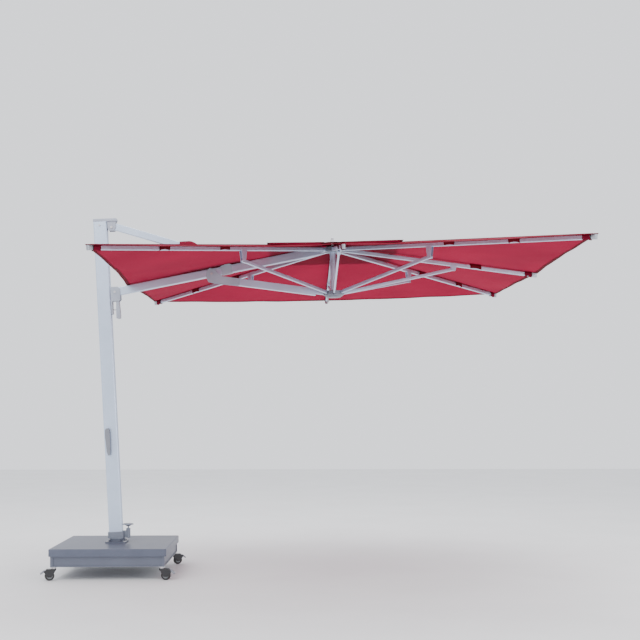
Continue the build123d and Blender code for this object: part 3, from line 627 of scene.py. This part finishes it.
def canopy(mat, hem_mat_shaded):
    """Eight kites with their hems, seams, rib sleeves and tip pockets."""
    surface = Surface("canopy", SCALLOP, SAG, WAVE, PAST_TIP)
    lug_low, lug_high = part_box("boom_sleeve")
    for step, body in enumerate(CARRIERS):
        slit = ((lug_low.x + lug_high.x) / 2, *SLIT_HALF) if body == "boom" else None
        made, flat, area = kite(f"canopy_{step + 1}", surface, step, *CANOPY_GRID, mat, slit)
        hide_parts("canopy")
        band = hem(f"canopy_hem_{step + 1}", surface, step, hem_mat_shaded, HEM_W, HEM_T)
        spans = BOOM_SEAM_SPANS if body == "boom" else SEAM_SPANS
        joined = [band]
        for count, span in enumerate(spans):
            joined.append(seam(f"canopy_seam_{step + 1}_{count + 1}", surface, step, mat, SEAM_W, span))
        for piece in [made] + joined:
            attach(piece, body)
            crease(piece, step, surface)
        if body != "boom":
            reaches = CORNER_SLEEVES if step % 2 else MID_SLEEVES
            for count, reach in enumerate(reaches):
                sleeve_name = f"rib_sleeve_{step + 1}_{count + 1}"
                loop = sleeve(sleeve_name, surface, step, reach, SLEEVE_LEN, hem_mat_shaded)
                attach(loop, body)
            end = surface.on_spoke(step, 1.0)
            pocket_at = math.hypot(end.x, end.y) - POCKET_INSET
            pocket_name = f"tip_pocket_{step + 1}"
            pocket = sleeve(pocket_name, surface, step, pocket_at, POCKET_LEN, mat, POCKET_DROP, POCKET_HALF)
            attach(pocket, body)


def vent_cap(mat, hem_mat_shaded):
    """Eight kites with their hems and seams, over the canopy's middle."""
    surface = Surface("vent_cap", VENT_SCALLOP, VENT_SAG, VENT_WAVE, 0.0)
    for step, body in enumerate(CARRIERS):
        made, flat, area = kite(f"vent_cap_{step + 1}", surface, step, *VENT_GRID, mat)
        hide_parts("vent_cap")
        band = hem(f"vent_hem_{step + 1}", surface, step, hem_mat_shaded, VENT_HEM_W, VENT_HEM_T)
        line = seam(f"vent_seam_{step + 1}", surface, step, mat, VENT_SEAM_W, VENT_SEAM_SPAN)
        for piece in (made, band, line):
            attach(piece, body)
            crease(piece, step, surface)


def apex_patch(mat):
    """Round reinforcement sewn over the vent cap's middle."""
    surface = Surface("vent_cap", 0.0, 0.0, 0.0, 0.0)
    inner, outer = surface.spokes[0]
    slope = (outer.z - inner.z) / (outer.x - inner.x)
    verts = []
    for i, r in enumerate(PATCH_RADII):
        z = inner.z + slope * (r - PATCH_HOLE) + PATCH_LIFT
        if i == len(PATCH_RADII) - 1:
            z -= PATCH_EDGE_DROP
        for j in range(PATCH_COLUMNS):
            a = 2 * math.pi * j / PATCH_COLUMNS
            verts.append(in_head(r * math.cos(a), r * math.sin(a), z))
    faces = grid_faces(len(PATCH_RADII), PATCH_COLUMNS, wrap=True)
    made = mesh_object("apex_patch", verts, faces, [mat])
    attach(made, "crown")


def hood_drop(u):
    """How far the hood's top lies under its highest point, at a share of its length; corners rounded."""
    def straight(v):
        for (u0, d0), (u1, d1) in zip(HOOD_TOP, HOOD_TOP[1:]):
            if v <= u1:
                return d0 + (d1 - d0) * (v - u0) / (u1 - u0)
        return HOOD_TOP[-1][1]

    near = [min(1.0, max(0.0, u + shift)) for shift in HOOD_ROUNDING]
    return sum(straight(v) for v in near) / len(near)


def strut_hood(mat):
    """Cloth hood over the slit, where the strut's end and its pin pass the canopy."""
    low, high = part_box("strut_boot")
    root = Vector(joints["carriage_pivot"]["pos_m"])
    run = CROWN_PIVOT - root
    slope = run.z / run.x
    rows = 41
    columns = 31
    verts = []
    for i in range(rows):
        u = i / (rows - 1)
        x = low.x + (high.x - low.x) * u
        ground = root.z + (x - root.x) * slope + HOOD_LIFT
        height = high.z - hood_drop(u) - ground
        half = HOOD_HALF + HOOD_BULGE * math.sin(math.pi * u)
        for j in range(columns):
            b = math.pi * j / (columns - 1)
            y = math.cos(b) * half
            z = ground + height * math.sin(b) ** 0.75
            z -= HOOD_WRINKLE * math.sin(math.pi * u) * abs(math.sin(4 * b + 7 * u)) * abs(math.cos(b))
            verts.append((x, y, z))
    made = mesh_object("strut_hood", verts, grid_faces(rows, columns), [mat])
    thicken(made, CLOTH_T)
    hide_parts("strut_boot")
    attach(made, "boom")
    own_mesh(made)


# ---- stage ----
def area_light(name, place, aim, size, power, colour):
    data = bpy.data.lights.new(name, "AREA")
    data.shape = "RECTANGLE"
    data.size, data.size_y = size
    data.energy = power
    data.color = colour
    lamp = bpy.data.objects.new(name, data)
    lamp.location = place
    lamp.rotation_euler = (Vector(aim) - Vector(place)).to_track_quat("-Z", "Y").to_euler()
    bpy.context.scene.collection.objects.link(lamp)


def studio():
    world = bpy.data.worlds.new("studio")
    world.use_nodes = True
    back = world.node_tree.nodes["Background"]
    back.inputs["Color"].default_value = WORLD_COLOUR
    back.inputs["Strength"].default_value = WORLD_STRENGTH
    bpy.context.scene.world = world
    for light in LIGHTS:
        area_light(*light)
    floor_mat, tree, shader, _ = new_material("floor")
    tone = ramp(tree, object_noise(tree, 1.5), *FLOOR_TONES)
    tree.links.new(tone, shader.inputs["Base Color"])
    shader.inputs["Roughness"].default_value = 0.7
    mesh_object("floor", FLOOR_CORNERS, [(0, 1, 2, 3)], [floor_mat], smooth=False)


camera()
studio()
dress_cad()
cloth_red = cloth("canopy_cloth", RED, RED_GLOW, 0.42)
# darker red is painted shade; the lower translucency lets less light through the doubled cloth
cloth_hem_shaded = cloth("hem_cloth_shaded", HEM_RED_SHADED, HEM_GLOW, 0.12)
canopy(cloth_red, cloth_hem_shaded)
vent_cap(cloth_red, cloth_hem_shaded)
apex_patch(cloth_hem_shaded)
strut_hood(cloth_red)
